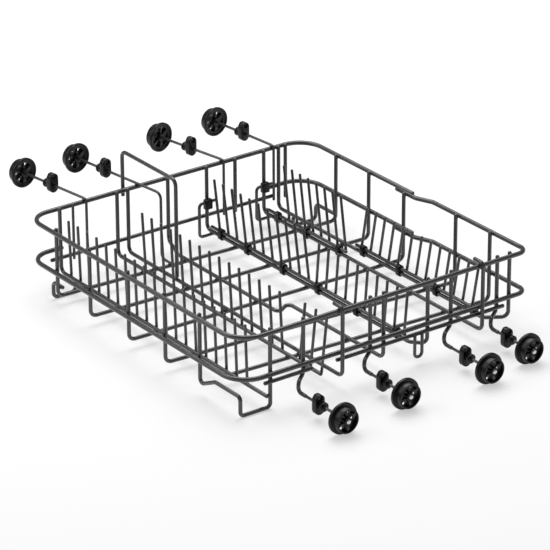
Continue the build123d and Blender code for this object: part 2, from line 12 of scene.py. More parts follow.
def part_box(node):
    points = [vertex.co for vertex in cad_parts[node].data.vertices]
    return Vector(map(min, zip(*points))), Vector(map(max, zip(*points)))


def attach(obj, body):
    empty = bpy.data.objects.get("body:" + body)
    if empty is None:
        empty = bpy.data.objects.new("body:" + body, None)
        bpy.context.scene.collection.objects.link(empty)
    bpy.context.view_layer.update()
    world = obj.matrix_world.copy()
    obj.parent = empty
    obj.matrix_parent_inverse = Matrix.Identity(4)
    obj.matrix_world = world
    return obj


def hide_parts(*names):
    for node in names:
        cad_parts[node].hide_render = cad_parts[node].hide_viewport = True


bl_info = {
    "name": "Dishwasher basket",
    "version": (1, 0, 0),
    "blender": (4, 5, 0),
    "location": "View3D > Sidebar > Basket",
    "description": "Coated wires, welds, tine rows, clips, wheels, light and camera of a dishwasher basket",
    "category": "Object",
}

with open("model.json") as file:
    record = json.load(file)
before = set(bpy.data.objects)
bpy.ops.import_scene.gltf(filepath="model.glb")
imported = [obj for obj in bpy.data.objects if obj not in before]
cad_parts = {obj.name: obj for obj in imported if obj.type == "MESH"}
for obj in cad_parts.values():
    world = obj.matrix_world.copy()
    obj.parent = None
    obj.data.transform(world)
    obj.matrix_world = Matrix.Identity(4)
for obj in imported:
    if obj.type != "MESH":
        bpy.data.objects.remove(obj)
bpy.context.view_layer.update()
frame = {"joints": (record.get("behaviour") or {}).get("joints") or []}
MM = 0.001


def low(node):
    """Lowest corner of a solid node, in millimetres."""
    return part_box(node)[0] / MM


def high(node):
    """Highest corner of a solid node, in millimetres."""
    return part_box(node)[1] / MM


# Wire diameters, read off nodes whose box shows them, in millimetres
RIM_WIRE = high("top_rim").z - low("top_rim").z
FRAME_WIRE = high("far_side_rail").z - low("far_side_rail").z
TINE_WIRE = high("front_row_tines").y - low("front_row_tines").y
LATCH_WIRE = high("near_side_loop").x - low("near_side_loop").x
ROD_WIRE = 5.0
ARM_WIRE = 4.0
JOURNAL = 3.2
HALF_FRAME = FRAME_WIRE / 2

# Levels and lines of the welded frame
TOP_RIM_Z = (low("top_rim").z + high("top_rim").z) / 2
LOWER_RIM_Z = (low("lower_rim").z + high("lower_rim").z) / 2
RIM_X = high("top_rim").x - RIM_WIRE / 2
RIM_FRONT_Y = low("top_rim").y + RIM_WIRE / 2
RIM_BACK_Y = high("top_rim").y - RIM_WIRE / 2
TIP_Z = high("floor_wire_1").z
FLOOR_Z = low("floor_wire_1").z + HALF_FRAME
WELD_GAP = 0.05
CROSS_Z = FLOOR_Z + FRAME_WIRE + WELD_GAP
SIDE_X = RIM_X - (RIM_WIRE + FRAME_WIRE) / 2 - WELD_GAP
FRAME_BEND = 9.0
SMALL_BEND = 5.8

# The rims' bends, their lap and the step at the back
RIM_CORNERS = {"far_front": 31.0, "near_front": 36.0, "near_back": 16.0, "far_back": 38.0}
LAP_X = (-26.0, 5.0)
LAP_STEP_X = (17.0, 43.0)
LAP_STEP = 4.0
LAP_BEND = 14.0

# Tine rows: node, body, wire or rod line, and per run first foot, last foot, number, lean along X
FIXED_ROWS = {
    "front_row_tines": ("front_row_wire", ((-221.0, 190.0, 19, -4.0, 47.5),)),
    "second_row_tines": (
        "second_row_front_wire", ((-178.5, 139.0, 15, -6.5, 49.0), (177.0, 224.0, 3, 11.5, 53.0))),
}
FOLDING_ROWS = {
    "third_row": ((-229.0, 214.0), ((-214.0, -5.0, 11, -13.0, 46.0), (12.0, 205.0, 10, 6.0, 36.0)),
                  (-203.5, -140.8, -57.2, 22.7, 108.5, 194.3)),
    "fourth_row": ((-229.0, -44.0), ((-184.0, -52.0, 8, -13.0, 52.5),), (-205.0, -137.0, -61.4)),
    "fifth_row": ((-58.0, 209.0), ((-50.0, 193.0, 13, 12.0, 36.0),), (-39.9, 41.1, 122.1, 203.0)),
}
TINE_FOOT = 2.2
CLIP_WEB = 1.7
CLIP_WALL = 2.2
CLIP_LENGTH = 7.0


def hex_colour(text):
    """An sRGB hex value as linear red, green and blue."""
    channels = [int(text[i:i + 2], 16) / 255 for i in (1, 3, 5)]
    return tuple(c / 12.92 if c <= 0.04045 else ((c + 0.055) / 1.055) ** 2.4 for c in channels)


class BasketWireSettings(bpy.types.PropertyGroup):
    """How the wires are drawn."""

    sides: IntProperty(name="Sides", description="Facets round a wire", default=16, min=6, max=48)
    bend_steps: IntProperty(name="Bend steps", description="Points along one bend", default=9, min=2, max=32)
    tip_share: FloatProperty(
        name="Tip rounding", description="Depth of a rounded tip as a share of the wire's radius",
        default=0.8, min=0.1, max=1.0, subtype="FACTOR")
    bead: FloatProperty(
        name="Weld bead", description="Size of a weld bead as a share of the thinner wire's radius",
        default=1.08, min=0.2, max=1.5)


class BasketWheelSettings(bpy.types.PropertyGroup):
    """Sizes of a moulded wheel."""

    flange: FloatProperty(
        name="Flange", description="Largest diameter", unit="LENGTH",
        default=high("near_wheel_1").z * MM - low("near_wheel_1").z * MM)
    width: FloatProperty(
        name="Width", description="Length along the axle", unit="LENGTH",
        default=high("near_wheel_1").x * MM - low("near_wheel_1").x * MM)
    drum: FloatProperty(name="Drum", description="Diameter of the drum", unit="LENGTH", default=0.034)
    hub: FloatProperty(name="Hub", description="Diameter of the hub", unit="LENGTH", default=0.011)
    spokes: IntProperty(name="Spokes", description="Number of spokes", default=6, min=3, max=12)
    spoke_width: FloatProperty(
        name="Spoke width", description="Width of a spoke", unit="LENGTH", default=0.0034)


class BasketColours(bpy.types.PropertyGroup):
    """Colours of the finishes."""

    wire: FloatVectorProperty(
        name="Wire coating", description="Grey of the coated wires",
        subtype="COLOR", default=hex_colour("#363738"))
    wire_shade: FloatVectorProperty(
        name="Coating shade", description="Darker grey in the coating",
        subtype="COLOR", default=hex_colour("#242526"))
    plastic: FloatVectorProperty(
        name="Plastic", description="Black of wheels and clips",
        subtype="COLOR", default=hex_colour("#09090a"))
    steel: FloatVectorProperty(
        name="Steel", description="Bare axle ends", subtype="COLOR", default=hex_colour("#cfcfcd"))
    floor: FloatVectorProperty(
        name="Floor", description="Plain pale floor", subtype="COLOR", default=hex_colour("#fbfbfb"))


def add(tree, kind, links=None, **settings):
    """Adds a node with its settings, and links or sets its inputs."""
    node = tree.nodes.new(kind)
    for key, value in settings.items():
        setattr(node, key, value)
    for socket, source in (links or {}).items():
        if isinstance(source, bpy.types.NodeSocket):
            tree.links.new(source, node.inputs[socket])
        else:
            node.inputs[socket].default_value = source
    return node


def new_material(name):
    """An empty node material with its output and shader."""
    material = bpy.data.materials.new(name)
    material.use_nodes = True
    tree = material.node_tree
    tree.nodes.clear()
    shader = add(tree, "ShaderNodeBsdfPrincipled")
    add(tree, "ShaderNodeOutputMaterial", {"Surface": shader.outputs["BSDF"]})
    place = add(tree, "ShaderNodeTexCoord").outputs["Object"]
    return material, tree, shader, place


def per_metre(millimetres):
    """Scale of a noise whose grains are this size, on coordinates in metres."""
    return 1000.0 / millimetres


def coated_wire_material():
    """Nylon-coated steel wire: dipped, so it is satin, faintly uneven in tone and has a soft orange peel."""
    colours = bpy.context.scene.basket_colours
    material, tree, shader, place = new_material("nylon coated wire")
    cloud = add(tree, "ShaderNodeTexNoise", {"Vector": place, "Scale": per_metre(28.0), "Detail": 3.0})
    tone = add(tree, "ShaderNodeMix", {"Factor": cloud.outputs["Fac"]}, data_type="RGBA")
    tone.inputs["A"].default_value = (*colours.wire_shade, 1.0)
    tone.inputs["B"].default_value = (*colours.wire, 1.0)
    tree.links.new(tone.outputs["Result"], shader.inputs["Base Color"])
    sheen = add(tree, "ShaderNodeMapRange", {"Value": cloud.outputs["Fac"], "To Min": 0.20, "To Max": 0.32})
    tree.links.new(sheen.outputs["Result"], shader.inputs["Roughness"])
    # The peel is about 0.5 mm wide, drawn at 1.6 mm so that it shows
    peel = add(tree, "ShaderNodeTexNoise", {"Vector": place, "Scale": per_metre(1.6), "Detail": 2.0})
    bump = add(tree, "ShaderNodeBump", {"Height": peel.outputs["Fac"], "Strength": 0.07, "Distance": 0.0003})
    tree.links.new(bump.outputs["Normal"], shader.inputs["Normal"])
    shader.inputs["IOR"].default_value = 1.53
    shader.inputs["Specular IOR Level"].default_value = 0.8
    return material


def moulded_plastic_material():
    """Black polypropylene: moulded, so it has a fine spark-eroded grain and a dull sheen."""
    colours = bpy.context.scene.basket_colours
    material, tree, shader, place = new_material("moulded black polypropylene")
    cloud = add(tree, "ShaderNodeTexNoise", {"Vector": place, "Scale": per_metre(9.0), "Detail": 2.0})
    tone = add(tree, "ShaderNodeMix", {"Factor": cloud.outputs["Fac"]}, data_type="RGBA")
    tone.inputs["A"].default_value = (*[c * 0.7 for c in colours.plastic], 1.0)
    tone.inputs["B"].default_value = (*[c * 1.25 for c in colours.plastic], 1.0)
    tree.links.new(tone.outputs["Result"], shader.inputs["Base Color"])
    sheen = add(tree, "ShaderNodeMapRange", {"Value": cloud.outputs["Fac"], "To Min": 0.26, "To Max": 0.40})
    tree.links.new(sheen.outputs["Result"], shader.inputs["Roughness"])
    # The grain is about 0.1 mm, drawn at 0.7 mm so that it shows
    grain = add(tree, "ShaderNodeTexNoise", {"Vector": place, "Scale": per_metre(0.7), "Detail": 1.0})
    bump = add(tree, "ShaderNodeBump", {"Height": grain.outputs["Fac"], "Strength": 0.2, "Distance": 0.0002})
    tree.links.new(bump.outputs["Normal"], shader.inputs["Normal"])
    shader.inputs["IOR"].default_value = 1.49
    shader.inputs["Specular IOR Level"].default_value = 0.3
    return material


def bare_steel_material():
    """Swaged steel axle end: turned and pressed, so it is bright with a fine scratch."""
    colours = bpy.context.scene.basket_colours
    material, tree, shader, place = new_material("swaged bare steel")
    shader.inputs["Base Color"].default_value = (*colours.steel, 1.0)
    shader.inputs["Metallic"].default_value = 1.0
    # Scratches of some hundredths of a millimetre, drawn at 0.4 mm so that they show
    scratch = add(tree, "ShaderNodeTexNoise", {"Vector": place, "Scale": per_metre(0.4), "Detail": 2.0})
    gloss = add(tree, "ShaderNodeMapRange", {"Value": scratch.outputs["Fac"], "To Min": 0.18, "To Max": 0.36})
    tree.links.new(gloss.outputs["Result"], shader.inputs["Roughness"])
    return material


FLOOR_WHITE = 0.5      # share of plain white in the floor, for rays that see it


def floor_material():
    """Plain pale studio floor that keeps the soft shadow."""
    colours = bpy.context.scene.basket_colours
    material, tree, shader, _ = new_material("plain floor")
    shader.inputs["Base Color"].default_value = (*colours.floor, 1.0)
    shader.inputs["Roughness"].default_value = 0.9
    # What sees the floor sees it partly as plain white, so that its shadows stay faint
    path = add(tree, "ShaderNodeLightPath").outputs
    seen = add(tree, "ShaderNodeMath", {0: path["Is Camera Ray"], 1: path["Is Glossy Ray"]}, operation="ADD")
    seen = add(tree, "ShaderNodeMath", {
        0: seen.outputs["Value"], 1: path["Is Transmission Ray"]}, operation="ADD")
    share = add(tree, "ShaderNodeMath", {0: seen.outputs["Value"], 1: FLOOR_WHITE}, operation="MULTIPLY")
    white = add(tree, "ShaderNodeEmission", {"Color": (1.0, 1.0, 1.0, 1.0), "Strength": 1.0})
    both = add(tree, "ShaderNodeMixShader", {
        0: share.outputs["Value"], 1: shader.outputs["BSDF"], 2: white.outputs["Emission"]})
    tree.links.new(both.outputs["Shader"], tree.get_output_node("ALL").inputs["Surface"])
    return material


def finish(name, make):
    """The named material, made on first use."""
    return bpy.data.materials.get(name) or make()


def wire_finish():
    return finish("nylon coated wire", coated_wire_material)


def plastic_finish():
    return finish("moulded black polypropylene", moulded_plastic_material)


def steel_finish():
    return finish("swaged bare steel", bare_steel_material)


def tree_input(tree, name, kind, default=None):
    """A named input of a node tree."""
    socket = tree.interface.new_socket(name, in_out="INPUT", socket_type=kind)
    if default is not None:
        socket.default_value = default
    return socket


def wire_tree():
    """Bends a line of points at their own radii, gives it a round section and repeats it in even steps."""
    tree = bpy.data.node_groups.get("coated wire")
    if tree:
        return tree
    tree = bpy.data.node_groups.new("coated wire", "GeometryNodeTree")
    tree_input(tree, "Line", "NodeSocketGeometry")
    tree_input(tree, "Sides", "NodeSocketInt", 16)
    tree_input(tree, "Bend steps", "NodeSocketInt", 9)
    tree_input(tree, "Count", "NodeSocketInt", 1)
    tree_input(tree, "Step", "NodeSocketVector")
    tree_input(tree, "Material", "NodeSocketMaterial")
    tree.interface.new_socket("Wire", in_out="OUTPUT", socket_type="NodeSocketGeometry")
    given = add(tree, "NodeGroupInput").outputs
    line = add(tree, "GeometryNodeMeshToCurve", {"Mesh": given["Line"]})
    bend = add(tree, "GeometryNodeInputNamedAttribute", {"Name": "bend"}, data_type="FLOAT")
    bent = add(tree, "GeometryNodeFilletCurve", {
        "Curve": line.outputs["Curve"], "Count": given["Bend steps"],
        "Radius": bend.outputs["Attribute"], "Limit Radius": True}, mode="POLY")
    ring = add(tree, "GeometryNodeCurvePrimitiveCircle", {"Resolution": given["Sides"], "Radius": 1.0})
    half = add(tree, "GeometryNodeInputNamedAttribute", {"Name": "half"}, data_type="FLOAT")
    tube = add(tree, "GeometryNodeCurveToMesh", {
        "Curve": bent.outputs["Curve"], "Profile Curve": ring.outputs["Curve"],
        "Scale": half.outputs["Attribute"], "Fill Caps": True})
    places = add(tree, "GeometryNodeMeshLine", {"Count": given["Count"], "Offset": given["Step"]})
    row = add(tree, "GeometryNodeInstanceOnPoints", {
        "Points": places.outputs["Mesh"], "Instance": tube.outputs["Mesh"]})
    real = add(tree, "GeometryNodeRealizeInstances", {"Geometry": row.outputs["Instances"]})
    smooth = add(tree, "GeometryNodeSetShadeSmooth", {"Geometry": real.outputs["Geometry"]})
    coat = add(tree, "GeometryNodeSetMaterial", {
        "Geometry": smooth.outputs["Geometry"], "Material": given["Material"]})
    add(tree, "NodeGroupOutput", {"Wire": coat.outputs["Geometry"]})
    return tree


def spread_tree():
    """Sets a shape on every point, its Z along the point's own direction and sized by the point."""
    tree = bpy.data.node_groups.get("spread shapes")
    if tree:
        return tree
    tree = bpy.data.node_groups.new("spread shapes", "GeometryNodeTree")
    tree_input(tree, "Points", "NodeSocketGeometry")
    tree_input(tree, "Shape", "NodeSocketObject")
    tree_input(tree, "Material", "NodeSocketMaterial")
    tree.interface.new_socket("Shapes", in_out="OUTPUT", socket_type="NodeSocketGeometry")
    given = add(tree, "NodeGroupInput").outputs
    shape = add(tree, "GeometryNodeObjectInfo", {"Object": given["Shape"]})
    facing = add(tree, "GeometryNodeInputNamedAttribute", {"Name": "facing"}, data_type="FLOAT_VECTOR")
    turn = add(tree, "FunctionNodeAlignRotationToVector", {"Vector": facing.outputs["Attribute"]}, axis="Z")
    size = add(tree, "GeometryNodeInputNamedAttribute", {"Name": "size"}, data_type="FLOAT")
    points = add(tree, "GeometryNodeMeshToPoints", {"Mesh": given["Points"]})
    spread = add(tree, "GeometryNodeInstanceOnPoints", {
        "Points": points.outputs["Points"], "Instance": shape.outputs["Geometry"],
        "Rotation": turn.outputs["Rotation"], "Scale": size.outputs["Attribute"]})
    real = add(tree, "GeometryNodeRealizeInstances", {"Geometry": spread.outputs["Instances"]})
    coat = add(tree, "GeometryNodeSetMaterial", {
        "Geometry": real.outputs["Geometry"], "Material": given["Material"]})
    add(tree, "NodeGroupOutput", {"Shapes": coat.outputs["Geometry"]})
    return tree


def grown(mesh, tree, **inputs):
    """The plain mesh that a node tree makes of a mesh."""
    helper = bpy.data.objects.new("helper", mesh)
    bpy.context.scene.collection.objects.link(helper)
    modifier = helper.modifiers.new("grow", "NODES")
    modifier.node_group = tree
    for item in tree.interface.items_tree:
        key = item.name.lower().replace(" ", "_")
        if item.in_out == "INPUT" and key in inputs:
            modifier[item.identifier] = inputs[key]
    bpy.context.view_layer.update()
    graph = bpy.context.evaluated_depsgraph_get()
    result = bpy.data.meshes.new_from_object(helper.evaluated_get(graph))
    bpy.data.objects.remove(helper)
    return result


def joined(meshes, material):
    """Several meshes as one of one material."""
    shape = bmesh.new()
    for mesh in meshes:
        shape.from_mesh(mesh)
    for face in shape.faces:
        face.material_index = 0
    result = bpy.data.meshes.new("joined")
    shape.to_mesh(result)
    shape.free()
    result.materials.append(material)
    return result


def show(name, mesh, body, slot, *nodes):
    """Makes a finished piece of a mesh, on its body and in place of its solid nodes."""
    mesh.name = name
    piece = bpy.data.objects.new(name, mesh)
    bpy.context.scene.collection.objects.link(piece)
    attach(piece, body)
    if nodes:
        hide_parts(*nodes)
    return piece


def rounded_tip(tip, inward, radius):
    """Points and half widths from a wire's tip to its full section."""
    depth = bpy.context.scene.basket_wires.tip_share * radius
    steps = (0.0, 0.06, 0.2, 0.42, 0.7, 1.0)
    return [
        (tip + inward * depth * step, radius * math.sqrt(max(0.02, 1 - (1 - step) ** 2))) for step in steps]


def line_mesh(wires):
    """Lines of points in millimetres as a mesh of edges that carries each point's bend and half width."""
    places = []
    edges = []
    bends = []
    halves = []
    for points, bend, diameter in wires:
        points = [Vector(point) for point in points]
        radius = diameter / 2
        corners = list(bend) if isinstance(bend, (list, tuple)) else [bend] * (len(points) - 2)
        start = rounded_tip(points[0], (points[1] - points[0]).normalized(), radius)
        end = rounded_tip(points[-1], (points[-2] - points[-1]).normalized(), radius)
        run = [(p, h, 0.0) for p, h in start]
        run += [(p, radius, corner) for p, corner in zip(points[1:-1], corners)]
        run += [(p, h, 0.0) for p, h in reversed(end)]
        first = len(places)
        places += [p * MM for p, h, corner in run]
        halves += [h * MM for p, h, corner in run]
        bends += [corner * MM for p, h, corner in run]
        edges += [(i, i + 1) for i in range(first, len(places) - 1)]
    mesh = bpy.data.meshes.new("lines")
    mesh.from_pydata(places, edges, [])
    mesh.attributes.new("bend", "FLOAT", "POINT").data.foreach_set("value", bends)
    mesh.attributes.new("half", "FLOAT", "POINT").data.foreach_set("value", halves)
    return mesh


def wire_mesh(wires, count=1, step=(0.0, 0.0, 0.0)):
    """Coated wires along lines of points, repeated in even steps."""
    settings = bpy.context.scene.basket_wires
    return grown(
        line_mesh(wires), wire_tree(), sides=settings.sides, bend_steps=settings.bend_steps,
        count=count, step=Vector(step) * MM, material=wire_finish())


def rim_runs(z):
    """Corner points of the longer wire of a rim, from the lap at the back to the far front corner."""
    lap_y = RIM_BACK_Y - LAP_STEP - RIM_WIRE - WELD_GAP
    points = [
        (LAP_X[0], lap_y, z), (LAP_STEP_X[0], lap_y, z), (LAP_STEP_X[1], RIM_BACK_Y, z),
        (RIM_X, RIM_BACK_Y, z), (RIM_X, RIM_FRONT_Y, z), (-RIM_X, RIM_FRONT_Y, z)]
    bends = [LAP_BEND, LAP_BEND] + [RIM_CORNERS[k] for k in ("near_back", "near_front", "far_front")]
    return points, bends


def rim_wires():
    """The two rims, as node: line, bends and diameter."""
    far_y = RIM_BACK_Y - LAP_STEP
    points, bends = rim_runs(TOP_RIM_Z)
    points += [(-RIM_X, far_y, TOP_RIM_Z), (LAP_X[1], far_y, TOP_RIM_Z)]
    lower, lower_bends = rim_runs(LOWER_RIM_Z)
    lower.append((-RIM_X, high_far_gap(), LOWER_RIM_Z))
    corner = [
        (LAP_X[1], far_y, LOWER_RIM_Z), (-RIM_X, far_y, LOWER_RIM_Z),
        (-RIM_X, low("lower_rim_corner").y, LOWER_RIM_Z)]
    return {
        "top_rim": (points, bends + [RIM_CORNERS["far_back"]], RIM_WIRE),
        "lower_rim": (lower, lower_bends, RIM_WIRE),
        "lower_rim_corner": (corner, RIM_CORNERS["far_back"], RIM_WIRE),
    }


def high_far_gap():
    """Where the lower rim's longer wire ends on the far side."""
    return -180.0


def floor_wires():
    """The floor wires that rise as uprights at the front and back."""
    wires = {}
    for node in ("floor_wire_1", "floor_wire_2", "floor_wire_3", "floor_wire_4"):
        lo, hi = low(node), high(node)
        front = (lo.x + HALF_FRAME, lo.y + HALF_FRAME)
        back = (hi.x - HALF_FRAME, hi.y - HALF_FRAME)
        points = [(*front, TIP_Z), (*front, FLOOR_Z), (*back, FLOOR_Z), (*back, TIP_Z)]
        wires[node] = (points, FRAME_BEND, FRAME_WIRE)
    lo, hi = low("short_floor_wire"), high("short_floor_wire")
    back = (hi.x - HALF_FRAME, hi.y - HALF_FRAME)
    points = [(lo.x + HALF_FRAME, lo.y, FLOOR_Z), (*back, FLOOR_Z), (*back, TIP_Z)]
    wires["short_floor_wire"] = (points, FRAME_BEND, FRAME_WIRE)
    return wires


def far_drop(y):
    """A cross wire's upright on the far side."""
    return [(-SIDE_X, y, TIP_Z), (-SIDE_X, y, CROSS_Z)]


def cross_wires():
    """The wires from side to side that carry the tine rows."""
    wires = {}
    for node in ("front_row_wire", "second_row_front_wire"):
        y = low(node).y + HALF_FRAME
        wires[node] = (far_drop(y) + [(high(node).x, y, CROSS_Z)], FRAME_BEND, FRAME_WIRE)
    hook_bend = (RIM_WIRE + FRAME_WIRE) / 2 + WELD_GAP
    for node in ("second_row_rear_wire", "fourth_row_wire"):
        y = low(node).y + HALF_FRAME
        outside = high(node).x - HALF_FRAME
        over = high(node).z - HALF_FRAME
        points = far_drop(y) + [(outside, y, CROSS_Z), (outside, y, over), (RIM_X - 14.0, y, over)]
        wires[node] = (points, [FRAME_BEND, FRAME_BEND, hook_bend], FRAME_WIRE)
    for node in ("third_row_wire", "fifth_row_wire"):
        y = low(node).y + HALF_FRAME
        upright_y = high(node).y - HALF_FRAME
        points = far_drop(y) + [
            (SIDE_X - 18.0, y, CROSS_Z), (SIDE_X, upright_y, CROSS_Z), (SIDE_X, upright_y, TIP_Z)]
        wires[node] = (points, FRAME_BEND, FRAME_WIRE)
    far_y = low("middle_wire").y + HALF_FRAME
    near_y = high("middle_wire").y - HALF_FRAME
    points = far_drop(-9.0) + [
        (-190.0, far_y, CROSS_Z), (46.0, far_y, CROSS_Z), (30.0, near_y, CROSS_Z),
        (SIDE_X, near_y, CROSS_Z), (SIDE_X, near_y, TIP_Z)]
    wires["middle_wire"] = (points, [FRAME_BEND, FRAME_BEND, SMALL_BEND, SMALL_BEND, FRAME_BEND], FRAME_WIRE)
    return wires


def side_wires():
    """Hoop, small loop and feet."""
    lo, hi = low("far_rim_hoop"), high("far_rim_hoop")
    y = (lo.y + hi.y) / 2
    outer, inner, top = lo.x + HALF_FRAME, hi.x - HALF_FRAME, hi.z - HALF_FRAME
    hoop = [(outer, y, TOP_RIM_Z - 12.0), (outer, y, top), (inner, y, top), (inner, y, lo.z)]
    lo, hi = low("near_side_loop"), high("near_side_loop")
    x = (lo.x + hi.x) / 2
    front, back, end = lo.y + LATCH_WIRE / 2, hi.y - LATCH_WIRE / 2, lo.z + LATCH_WIRE / 2
    loop = [(x, front, hi.z), (x, front, end), (x, back, end), (x, back, hi.z)]
    wires = {
        "far_rim_hoop": (hoop, FRAME_BEND, FRAME_WIRE),
        "near_side_loop": (loop, 0.48 * (back - front), LATCH_WIRE),
    }
    lo, hi = low("near_front_foot"), high("near_front_foot")
    x, front, rear, ground = lo.x + HALF_FRAME, lo.y + HALF_FRAME, hi.y - HALF_FRAME, lo.z + HALF_FRAME
    run_z = LOWER_RIM_Z - 22.0
    foot = [
        (x, front, TIP_Z), (x, front, FLOOR_Z), (x + 34.0, front, run_z), (SIDE_X, front, run_z),
        (SIDE_X, front, ground), (SIDE_X, rear, ground), (SIDE_X, rear, TIP_Z)]
    wires["near_front_foot"] = (foot, SMALL_BEND, FRAME_WIRE)
    under = CROSS_Z - HALF_FRAME - WELD_GAP
    for node, rows_side in (("far_front_foot", 1), ("far_rear_foot", -1)):
        lo, hi = low(node), high(node)
        outer = lo.y + HALF_FRAME if rows_side > 0 else hi.y - HALF_FRAME
        inner = hi.y - HALF_FRAME if rows_side > 0 else lo.y + HALF_FRAME
        x, run_z, ground = lo.x + HALF_FRAME, hi.z - HALF_FRAME, lo.z + HALF_FRAME
        points = [
            (hi.x, outer, run_z), (x, outer, run_z), (x, outer, ground),
            (x, inner, ground), (x, inner, under)]
        wires[node] = (points, 0.54 * (under - ground), FRAME_WIRE)
    return wires


def straight_side_wires():
    """Short uprights of the far side and the straight rails, several to a node."""
    lo, hi = low("far_side_uprights"), high("far_side_uprights")
    thin_x = -RIM_X + (RIM_WIRE + ARM_WIRE) / 2 + WELD_GAP
    uprights = [([(-SIDE_X, y, lo.z), (-SIDE_X, y, hi.z)], 0.0, FRAME_WIRE) for y in (106.0, 194.0)]
    uprights.append(([(thin_x, -166.0, lo.z), (thin_x, -166.0, hi.z)], 0.0, ARM_WIRE))
    rails = []
    lo, hi = low("near_side_rails"), high("near_side_rails")
    x, z = (lo.x + hi.x) / 2, (lo.z + hi.z) / 2
    for start, end in ((lo.y, -121.0 + HALF_FRAME), (-79.0 - HALF_FRAME, hi.y)):
        rails.append(([(x, start, z), (x, end, z)], 0.0, FRAME_WIRE))
    lo, hi = low("far_side_rail"), high("far_side_rail")
    x, z = (lo.x + hi.x) / 2, (lo.z + hi.z) / 2
    far_rail = [([(x, lo.y, z), (x, hi.y, z)], 0.0, FRAME_WIRE)]
    return {"far_side_uprights": uprights, "near_side_rails": rails, "far_side_rail": far_rail}


def tine_line(row, y, base_z):
    """The first tine of a run, the number of tines and the step between them."""
    first, last, count, lean, rise = row
    points = [(first, y, base_z - TINE_FOOT), (first + lean, y, LOWER_RIM_Z + rise)]
    return points, count, ((last - first) / (count - 1), 0.0, 0.0)


def fixed_tine_lines():
    """Lines of the welded tine rows."""
    rows = {}
    for node, (_, runs) in FIXED_ROWS.items():
        y = (low(node).y + high(node).y) / 2
        rows[node] = [tine_line(run, y, CROSS_Z) for run in runs]
    return rows


def row_rod(row):
    """Y and Z of a folding row's rod, from its hinge."""
    joint = next(j for j in frame["joints"] if j["name"] == row + "_fold")
    return joint["pos_m"][1] / MM, joint["pos_m"][2] / MM


def latch_lines():
    """The wire loops at the far ends of two folding rows."""
    wires = {}
    for row in ("third_row", "fourth_row"):
        lo, hi = low(row + "_latch_loop"), high(row + "_latch_loop")
        x = (lo.x + hi.x) / 2
        front, top, bottom = lo.y + LATCH_WIRE / 2, hi.z - LATCH_WIRE / 2, lo.z + LATCH_WIRE / 2
        points = [(x, hi.y, top), (x, front, top), (x, front, bottom), (x, hi.y, bottom)]
        wires[row + "_latch_loop"] = (points, SMALL_BEND, LATCH_WIRE)
    return wires


def wheel_place(side, number):
    """Where a wheel's flange face sits and the way its axle points, from its hinge."""
    joint = next(j for j in frame["joints"] if j["name"] == f"{side}_wheel_{number}_spin")
    return Vector(joint["pos_m"]) / MM, Vector(joint["axis"]).normalized()


def axle_lines():
    """The long axles of both sides, as node: the thick and the thin wire."""
    wires = {}
    knee_x, knee_z = RIM_X + 12.0, LOWER_RIM_Z - 16.5
    stub_x = RIM_X + 28.0
    for number in (1, 2, 3, 4):
        node = f"near_axle_{number}"
        place, along = wheel_place("near", number)
        upright_y = high(node).y - HALF_FRAME
        bent = [
            (SIDE_X, upright_y, TIP_Z), (SIDE_X, upright_y, knee_z), (knee_x, place.y, knee_z),
            (knee_x, place.y, place.z), (stub_x + 1.5, place.y, place.z)]
        thin = [(stub_x - 4.0, place.y, place.z), (place.x - 0.35, place.y, place.z)]
        wires[node] = [(bent, 0.46 * (knee_z - place.z), FRAME_WIRE), (thin, 0.0, ARM_WIRE)]
    arm_inset = (RIM_WIRE + ARM_WIRE) / 2 + WELD_GAP
    for number in (1, 2, 3, 4):
        node = f"far_axle_{number}"
        place, along = wheel_place("far", number)
        lo, hi = low(node), high(node)
        end = tuple(place - along * 0.35)
        bend_x = -195.0 if number == 2 else -RIM_X + arm_inset
        reach = (place.x - bend_x) / along.x
        bend = place - along * reach
        if number == 2:
            tail_z = FLOOR_Z + (FRAME_WIRE + ARM_WIRE) / 2 + WELD_GAP
            tail = [(bend_x, bend.y, tail_z), (hi.x, bend.y, tail_z)]
        else:
            tail = [(bend_x, bend.y, lo.z)]
        points = [end, tuple(bend)] + tail
        wires[node] = [(points, FRAME_BEND if number == 2 else arm_inset, ARM_WIRE)]
    return wires


def straight_runs(points, bend, diameter):
    """The straight pieces of a bent wire, cut back by its bends."""
    points = [Vector(p) for p in points]
    corners = list(bend) if isinstance(bend, (list, tuple)) else [bend] * (len(points) - 2)
    cut = [0.0]
    for before, at, after, radius in zip(points, points[1:], points[2:], corners):
        turn = (at - before).angle(after - at, 0.0)
        cut.append(radius * math.tan(turn / 2))
    cut.append(0.0)
    runs = []
    for i in range(len(points) - 1):
        along = points[i + 1] - points[i]
        if along.length > cut[i] + cut[i + 1] + 0.5:
            unit = along.normalized()
            runs.append((points[i] + unit * cut[i], points[i + 1] - unit * cut[i + 1], diameter / 2))
    return runs


def nearest_points(a, b, c, d):
    """The nearest points of two straight runs."""
    u, v, w = b - a, d - c, a - c
    uu, uv, vv, uw, vw = u.dot(u), u.dot(v), v.dot(v), u.dot(w), v.dot(w)
    flat = uu * vv - uv * uv
    s = 0.5 if flat < 1e-6 * uu * vv else min(1.0, max(0.0, (uv * vw - vv * uw) / flat))
    t = min(1.0, max(0.0, (uv * s + vw) / vv))
    s = min(1.0, max(0.0, (uv * t - uw) / uu))
    return a + u * s, c + v * t


